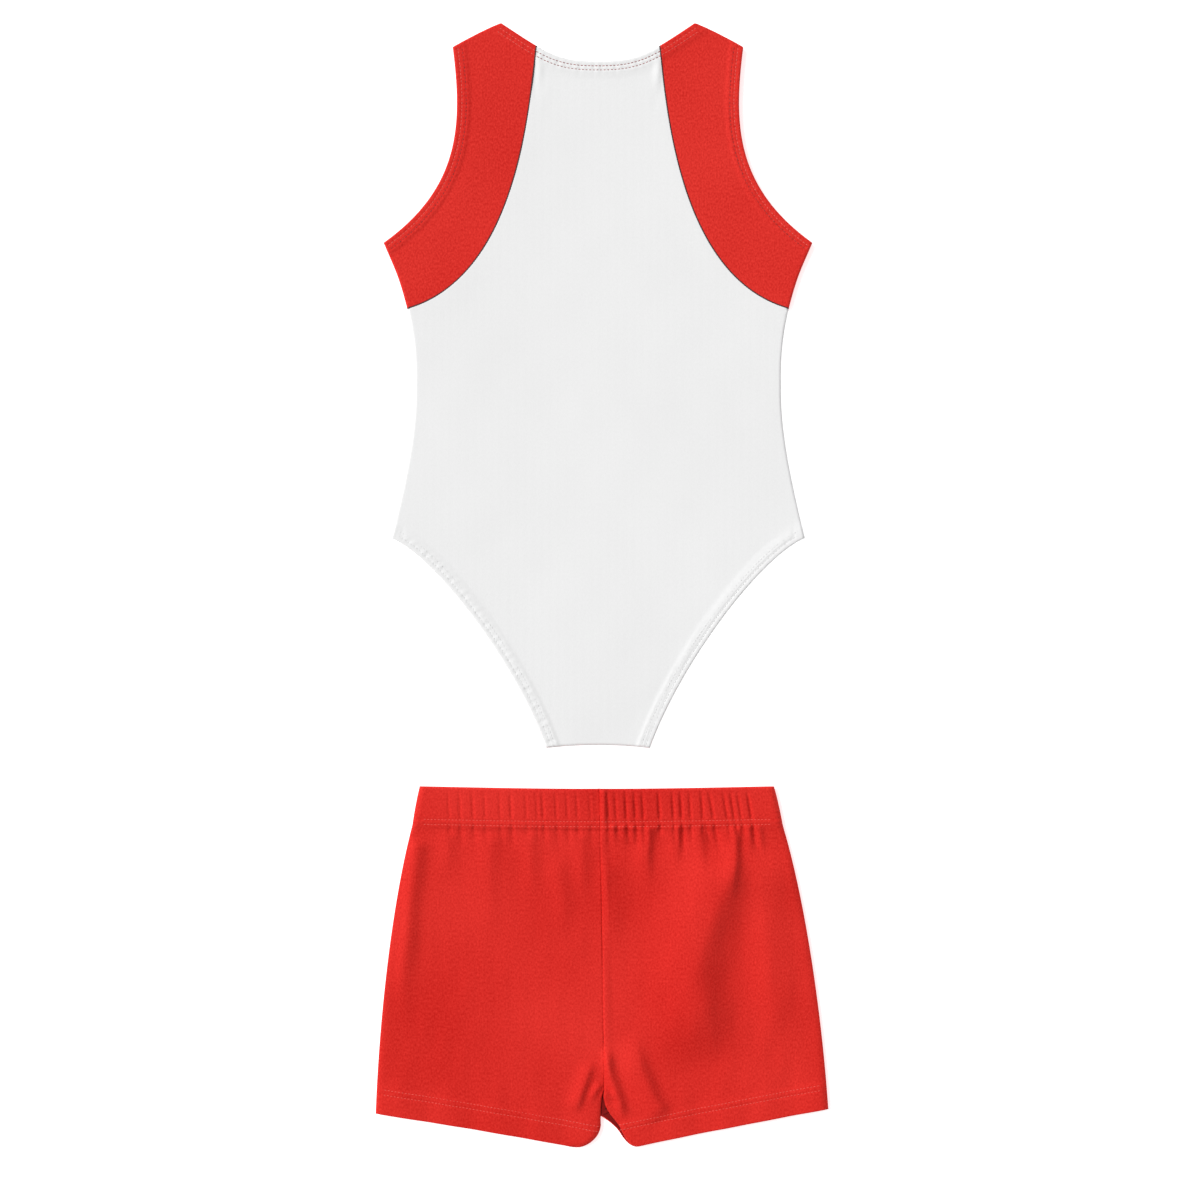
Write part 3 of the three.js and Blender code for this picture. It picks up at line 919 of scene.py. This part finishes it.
waist_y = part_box("shorts_back_left")[1].y
shorts_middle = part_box("shorts_back_left")[1].z / 2
casing_width = 0.03
leg_hem_width = 0.02
panel_swell = 0.0018  # heights above the plane between front and back
casing_swell = 0.0030
leg_hem_swell = 0.0026
shorts_edge_round = 0.005
inner_round = (0.0042, 0.0014)  # at the inside of the left leg and of the right
waist_roll = 0.0018
centre_roll = 0.0009
leg_hem_roll = 0.001
casing_step = (0.0285, 0.0315)  # where the casing ends, below the waist
leg_hem_step = (0.0190, 0.0215)  # where the hem ends, above the foot
centre_lap = 0.0006  # height of the right leg over the left beside the centre seam
waist_rows = (0.0244, 0.0281)
hem_rows_up = (0.0150, 0.0188)

shorts_red = knit("red knit of the shorts", (0.775, 0.034, 0.025, 1), (0.53, 0.008, 0.005, 1), 0.62, 0.02)
# Painted shade: the same red darkened, for the inner faces and turned margins of the leg panels.
shorts_painted_shade = knit("red knit darkened as painted shade", (0.24, 0.006, 0.005, 1), (0.15, 0.003, 0.003, 1),
                      0.6, 0.02)


def local(x, y):
    """A place on the shorts from its distances to the centre line and below the waist."""
    return (x, waist_y - y)


def leg_outline(side_top, casing_foot, side_foot, inner, centre_top):
    """Edges of one leg of the shorts, as if it were the right one: waist, side, hem, the inner edge
    from the hem up to the crotch, and the centre seam."""
    waist = bow(centre_top, side_top, (0.3, 0.006), (0.7, 0.002))
    below = bow(casing_foot, side_foot, (0.27, -0.036), (0.67, -0.03), 80)
    side = chain(bow(side_top, casing_foot, (0.3, -0.02), (0.7, -0.015)), below)
    hem = bow(side_foot, inner[0], (0.33, 0.004), (0.7, 0.006), 60)
    centre = bow(inner[-1], centre_top, (0.3, -0.002), (0.7, -0.003), 80)
    return waist, side, hem, inner, centre


def round_to(foot, turn, crotch, leave, arrive, onwards, upwards):
    """Inner edge of a leg: a round corner from the hem, then a second bow up to the crotch."""
    return chain(bow(foot, turn, leave, arrive), bow(turn, crotch, onwards, upwards))


left_top = (local(0.1335, 0), local(0.139, 0.029), local(0.1665, 0.245))
right_top = (local(0.1318, 0), local(0.1385, 0.0295), local(0.1725, 0.2415))
left_inner = round_to(local(0.0175, 0.2702), local(-0.002, 0.2545), local(-0.0045, 0.2275),
                      (0.24, -0.26), (0.775, -0.25), (0.4, 0.04), (0.85, 0.06))
left_inner_front = round_to(local(0.0175, 0.2702), local(-0.002, 0.2545), local(-0.0017, 0.247),
                            (0.24, -0.26), (0.775, -0.25), (0.3, 0), (0.7, 0))
right_inner = round_to(local(0.029, 0.2697), local(0.0168, 0.256), local(0.0045, 0.2275),
                       (0.233, -0.234), (0.744, -0.1), (0.3, -0.02), (0.6, -0.26))
right_inner_front = round_to(local(0.029, 0.27), local(0.0162, 0.259), local(0.0017, 0.2468),
                             (0.281, -0.218), (0.724, -0.094), (0.252, 0.074), (0.75, 0.08))
left_centre, right_centre = local(-0.0008, 0.0018), local(0.0008, 0.0018)
left_leg = leg_outline(*left_top, left_inner, left_centre)
left_leg_front = leg_outline(*left_top, left_inner_front, left_centre)
right_leg = leg_outline(*right_top, right_inner, right_centre)
right_leg_front = leg_outline(*right_top, right_inner_front, right_centre)

# Where the creases between the casing's pleats lie, across the shorts, and how deep each is.
creases = np.array([
    -111.8, -103.5, -93.8, -84.8, -73.5, -65.3, -54, -45.8, -41.3, -31.5, -23.3, -15.8, -6, 7.2,
    13.2, 20.8, 27.5, 33.5, 45.5, 56, 62, 68.8, 77.8, 84.5, 95, 100.3, 105.5, 113,
]) / 1000
crease_depth = np.where(creases < 0, 0.0008, 0.0016)
crease_depth = crease_depth * (0.7 + 0.6 * np.random.default_rng(11).random(len(creases)))
crease_half_width = 0.0010

# Long soft folds, in millimetres: the crest from its upper end to its lower, the height, how far the
# cloth falls away to the left and to the right of it, and the lengths over which each end fades.
folds = (
    ([(103, 27), (102.5, 55), (98, 90)], 2.7, 8, 3.6, 4, 30),
    ([(101, 36), (93.5, 70), (79, 106), (71.8, 142), (76, 170), (83, 190), (91, 216)], 7.2, 30, 19, 30, 50),
    ([(126.5, 40), (126, 100), (130, 150), (136, 210)], 2.2, 12, 16, 30, 50),
    ([(37.5, 27), (36.5, 50), (38.5, 85)], 2.4, 8, 4.2, 4, 40),
    ([(59, 27), (59, 45), (57.5, 65)], 1.5, 6, 3, 4, 25),
    ([(75.5, 27), (77, 50), (78, 75)], 1.3, 7, 4, 6, 30),
    ([(11, 27), (12.5, 36), (14, 45)], 1.4, 4, 2.4, 3, 12),
    ([(19, 27), (20, 36), (19.5, 48)], 1.2, 4, 2.4, 3, 14),
    ([(26.5, 27), (27, 36), (26.5, 46)], 1, 4, 2.4, 3, 14),
    ([(112.5, 27), (113.5, 38), (114, 55)], 1.2, 4, 2.5, 3, 20),
    ([(119.5, 27), (121.5, 38), (124, 55)], 1, 4, 2.5, 3, 20),
    ([(5.5, 45), (8.5, 90), (12, 150)], 1.6, 4, 10, 20, 70),
    ([(24, 180), (32.5, 214), (42, 234), (53, 252)], 3, 13, 6, 30, 12),
    ([(5, 192), (8.5, 214), (15, 233), (20.5, 252)], 2.9, 3, 4.4, 12, 14),
    ([(3, 226.2), (9.5, 230), (16.5, 231.2)], 1.6, 5, 1.3, 2, 8),
    ([(-3.5, 202), (-9.5, 220), (-15, 236), (-18.5, 247)], 2, 6, 3.4, 12, 12),
    ([(4, 221.5), (-1, 225.5), (-4.5, 232), (-5, 240)], 1.4, 2.2, 3, 4, 12),
    ([(-134, 31), (-137, 55), (-141, 90), (-150, 190)], 2.4, 6, 7.5, 10, 80),
    ([(-111, 31), (-112.5, 50), (-115, 80)], 1, 7, 5, 6, 40),
    ([(-80, 31), (-81.5, 60), (-84, 130)], 1.3, 10, 9, 6, 80),
    ([(-52, 31), (-50, 60), (-45, 100)], 1, 6, 6, 6, 50),
    ([(-32, 45), (-27, 80), (-21.5, 115)], 1.3, 9, 7.5, 20, 40),
    ([(-14, 31), (-12, 60), (-10, 100)], 0.9, 6, 5, 6, 40),
    ([(4, 1), (4.3, 30)], 0.8, 2.8, 1.8, 1, 3),
)
fold_fullness = 1.35  # the height of all the folds together, times this


def fold_swell(x, y):
    """Height that the long folds add: along each crest its height, faded at both ends, falling off
    to either side as a bell, steeper on one side than on the other."""
    total = np.zeros(x.shape)
    for crest, *sizes in folds:
        height, left, right, fade_in, fade_out = np.array(sizes) / 1000
        crest = np.array([local(x_mm / 1000, y_mm / 1000) for x_mm, y_mm in crest])
        path = along(crest, np.linspace(0, 1, 30))
        path = (path + np.roll(path, 1, 0) + np.roll(path, -1, 0))[1:-1] / 3
        distance, place, side = nearest(x, y, path)
        reach = np.where(side > 0, left, right)
        beyond = lengths(path)[-1]
        fade = smooth(place, 0, fade_in) * (1 - smooth(place, beyond - fade_out, beyond))
        total = total + fold_fullness * height * fade * np.exp(-((distance / reach) ** 2))
    return total


def pleat_swell(x, y):
    """Height of the casing's pleats: level between the creases, which sink in as narrow bells, deep
    above the rows of stitches, shallow under them, and fading out below."""
    down = waist_y - y
    lean = np.where(x > 0.08, 0.17, 0.06)
    gap = (x - lean * (down - 0.012))[..., None] - creases
    wide = crease_half_width * (1 + 1.2 * smooth(down, 0.028, 0.036))[..., None]
    depth = (crease_depth * np.exp(-((gap / wide) ** 2))).sum(-1)
    rows = np.exp(-(((down - np.mean(waist_rows)) / 0.003) ** 4))
    strength = (0.12 + 0.88 * smooth(down, 0.001, 0.013)) * (1 - 0.8 * rows)
    below = np.where(x > 0, 0.016 + 0.008 * np.sin(x * 210 + 1), 0.018)
    strength = strength * (1 - smooth(down, 0.031, 0.031 + below))
    inner = smooth(np.abs(x), 0, 0.006) * (1 - smooth(down, 0.028, 0.045))
    return np.where(x > 0, 0.0014, 0.0007) * inner - depth * strength * smooth(down, 0.001, 0.005)


def shorts_swell(x, y, legs, behind):
    """Height of the cloth above the plane between front and back: casing and hem stand above the
    single cloth, the stitch rows sink in, folds and pleats rise on the back, and every edge rolls
    down."""
    (waist_l, side_l, hem_l, inner_l, centre), (waist_r, side_r, hem_r, inner_r, _) = legs
    centre = mirror(centre)
    top = nearest(x, y, chain(other_side(waist_l), waist_r))[0]
    left = x < centre[0, 0]
    foot = np.where(x < 0, nearest(x, y, mirror(hem_l))[0], nearest(x, y, hem_r)[0])
    side = np.where(x < 0, nearest(x, y, mirror(side_l))[0], nearest(x, y, side_r)[0])
    inner = np.where(left, nearest(x, y, mirror(inner_l))[0], nearest(x, y, inner_r)[0])
    middle, _, past = nearest(x, y, centre)
    level = panel_swell + (casing_swell - panel_swell) * (1 - smooth(top, *casing_step))
    level = level + (leg_hem_swell - panel_swell) * (1 - smooth(foot, *leg_hem_step))
    for row in waist_rows:
        level = level - 0.0004 * np.exp(-(((top - row) / 0.0008) ** 2))
    for row in hem_rows_up:
        level = level - 0.0003 * np.exp(-(((foot - row) / 0.0008) ** 2))
    level = level + 0.0003 * smooth(top, 0.03, 0.05) * ripple(x, y, 0.05, 21)
    level = level + 0.0002 * smooth(top, 0.03, 0.05) * ripple(x, y * 0.35, 0.016, 22)
    level = level + 0.0009 * (1 - smooth(foot, 0.012, 0.05)) * ripple(x, y * 0.2, 0.034, 23)
    if behind:
        level = level + fold_swell(x, y) + pleat_swell(x, y)
        lapped = smooth(middle, 0, 0.0012) * (1 - smooth(middle, 0.003, 0.008))
        level = level + centre_lap * (past > 0) * lapped
    level = level - quarter(top, waist_roll) - quarter(middle, centre_roll)
    level = level - quarter(foot, leg_hem_roll)
    rounded = 1 - np.minimum(side / shorts_edge_round, 1)
    turning = 1 - np.minimum(inner / np.where(left, *inner_round), 1)
    return 0.0001 + level * np.sqrt(1 - rounded**2) * np.sqrt(1 - turning**2)


def leg_panel(name, leg, legs, front, left, step):
    """A grid between the centre seam with the inner leg, the side, the hem and the waist."""
    waist, side, hem, inner, centre = leg
    inside_edge = chain(inner, centre)
    length, seam_end = lengths(inside_edge)[-1], lengths(inner)[-1]
    at_crotch = seam_end + np.array([-0.002, -0.001, 0, 0.001, 0.002])
    at_hem_stitches = np.arange(0.0132, 0.0225, 0.0009)
    at_waist_stitches = length - np.arange(0.0222, 0.0330, 0.0009)
    close = np.concatenate([at_crotch, at_hem_stitches, at_waist_stitches])
    up = spacing(length, step * 2, close)
    across = spacing(lengths(hem)[-1], step)
    plan = patch(inside_edge, side[::-1], hem[::-1], waist, across, up, 4)
    x = -plan[..., 0] if left else plan[..., 0]
    swell = shorts_swell(x, plan[..., 1], legs, not front)
    widths = (margin, margin, leg_hem_width - 0.001, casing_width - 0.001)
    plan, swell = turn_under(plan, swell, widths)
    height = shorts_middle - swell if front else shorts_middle + swell
    return cloth(name, plan, height, shorts_red, front, left, shorts_painted_shade)


def fold_at_centre(piece):
    """Bakes the placement of a piece of the shorts into its mesh."""
    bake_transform(piece)


behind_legs = (left_leg, right_leg)
front_legs = (left_leg_front, right_leg_front)
for face, legs, front in (("back", behind_legs, False), ("front", front_legs, True)):
    for (end, left), leg in zip(hands, legs):
        step = 0.0030 if front else 0.0011
        piece = leg_panel(f"leg_panel_{face}_{end}", leg, legs, front, left, step)
        under = "floor" if front else f"leg_panel_front_{end}"
        declare(piece, [under])
        stand_for(piece, fold_at_centre, "red_knit", f"shorts_{face}_{end}")

# ---- Waist elastic ----
# One loop of flat elastic inside the casing. It was stretched when the casing was sewn, and draws the
# cloth up into pleats when it is let go.

elastic_drop = 0.0125
waist_elastic_height = 0.0016
waist_elastic_half_width = 0.0105


def waist_run(legs, drop, short_of_side):
    """Path across the shorts below the waist edge, from the left side to the right."""
    (waist_l, *_), (waist_r, *_) = legs
    edge = inside(chain(other_side(waist_l), waist_r), drop)
    return piece_of(edge, short_of_side, lengths(edge)[-1] - short_of_side, 110)


run = waist_run(front_legs, elastic_drop, 0.0045)
path, across = loop_round(run, run, waist_elastic_height)
waist_elastic = band("waist_elastic_loop", path, across, waist_elastic_half_width,
                     elastic_half_thickness, elastic, True, 16)
stand_for(waist_elastic, fold_at_centre, "elastic", "waist_elastic_left", "waist_elastic_right")

# ---- Overlocked seams of the shorts ----
# The centre seams, the sides and the inside of each leg are overlocked like those of the leotard, in
# red thread.


def shorts_overlock(name, node, edge, height=0.0):
    """One overlocked seam of the shorts, at their own middle height."""
    piece = overlock(name, edge, red_overlock, shorts_middle - mid_plane + height)
    stand_for(piece, fold_at_centre, "seam_thread", node)


shorts_overlock("shorts_side_overlock_left", "shorts_side_seam_left", other_side(left_leg[1]))
shorts_overlock("shorts_side_overlock_right", "shorts_side_seam_right", right_leg[1])
shorts_overlock("inseam_overlock_left", "inseam_left", other_side(left_leg_front[3][:60]), -0.0006)
shorts_overlock("inseam_overlock_right", "inseam_right", right_leg_front[3][:60], -0.0006)
shorts_overlock("centre_overlock_back", "centre_seam_back", right_leg[4], 0.0004)
shorts_overlock("centre_overlock_front", "centre_seam_front", right_leg_front[4][14:], -0.0008)

# ---- Cover stitching of the shorts ----
# Two rows of red stitches run round the foot of the waist casing, and two round each leg hem.

shorts_stitch = (0.0026, 0.0023, 0.0003)
row_overrun = (0.0170, 0.0106)  # of a leg hem's rows past the hem's own curve, left and right
red_thread = thread_finish("bright red hem thread", (0.82, 0.085, 0.062, 1), (0.74, 0.055, 0.04, 1))


row_short = 0.002  # of the hem's end
shorts_faces = (
    (behind_legs, partial(shorts_swell, legs=behind_legs, behind=True), 1),
    (front_legs, partial(shorts_swell, legs=front_legs, behind=False), -1),
)
rows = [
    (waist_run(legs, drop, row_short), swell_at, sign)
    for legs, swell_at, sign in shorts_faces
    for drop in waist_rows
]
waist_stitches = stitches("waist_stitch_rows", rows, *shorts_stitch, red_thread)
stand_for(waist_stitches, fold_at_centre, "red_thread", "waist_coverstitch_left", "waist_coverstitch_right")

for end, which, turn in (("left", 0, other_side), ("right", 1, np.array)):
    rows = []
    for legs, swell_at, sign in shorts_faces:
        hem = turn(legs[which][2])
        for up in hem_rows_up:
            row = inside(hem, up)
            row = row if which else row[::-1]
            ahead = (row[-1] - row[-2]) / np.linalg.norm(row[-1] - row[-2])
            row = np.vstack([row, row[-1] + ahead * row_overrun[which]])
            rows.append((piece_of(row, row_short, lengths(row)[-1]), swell_at, sign))
    piece = stitches(f"hem_stitch_rows_{end}", rows, *shorts_stitch, red_thread)
    stand_for(piece, fold_at_centre, "red_thread", f"leg_hem_coverstitch_{end}")

# ---- Floor, light and camera ----
# A plain pale floor that the garments lie on, soft light from all round with more from the upper
# left, and a camera looking straight down.

floor_half = 30.0
floor_drop = -0.0006  # just under the lowest thread
floor_corners = ((-1, -1), (1, -1), (1, 1), (-1, 1))
floor_points = at_height(np.array(floor_corners) * floor_half, floor_drop)
floor_paint = Material("pale floor", Roughness=0.9, Specular_IOR_Level=0.0,
                       Emission_Color=(1, 1, 1, 1), Emission_Strength=0.6)
unevenness = floor_paint.noise(floor_paint.object_place(), 3.0, 2.0)
floor_paint.feed("Base Color", floor_paint.mix(unevenness, (0.94, 0.94, 0.94, 1), (0.95, 0.95, 0.95, 1)))
put_mesh("floor", floor_points, [np.array([[0, 1, 2, 3]])], floor_paint.material)

sky = bpy.data.worlds.new("soft light")
sky.use_nodes = True
sky_light = sky.node_tree.nodes["Background"].inputs
sky_light["Color"].default_value = (1, 1, 1, 1)
sky_light["Strength"].default_value = 0.42
bpy.context.scene.world = sky

window = bpy.data.lights.new("window", "SUN")
window.energy = 2.95
window.angle = math.radians(35)
window_lamp = bpy.data.objects.new("window", window)
window_lamp.rotation_euler = (math.radians(-20), math.radians(-42), 0)
bpy.context.collection.objects.link(window_lamp)

camera = bpy.data.cameras.new("camera")
camera.lens = 85
camera.sensor_width = 36
camera_stand = bpy.data.objects.new("camera", camera)
camera_height = 2.125
camera_stand.location = (0.0015, -0.01125, camera_height)
bpy.context.collection.objects.link(camera_stand)
bpy.context.scene.camera = camera_stand
bpy.context.scene.view_settings.view_transform = "Standard"
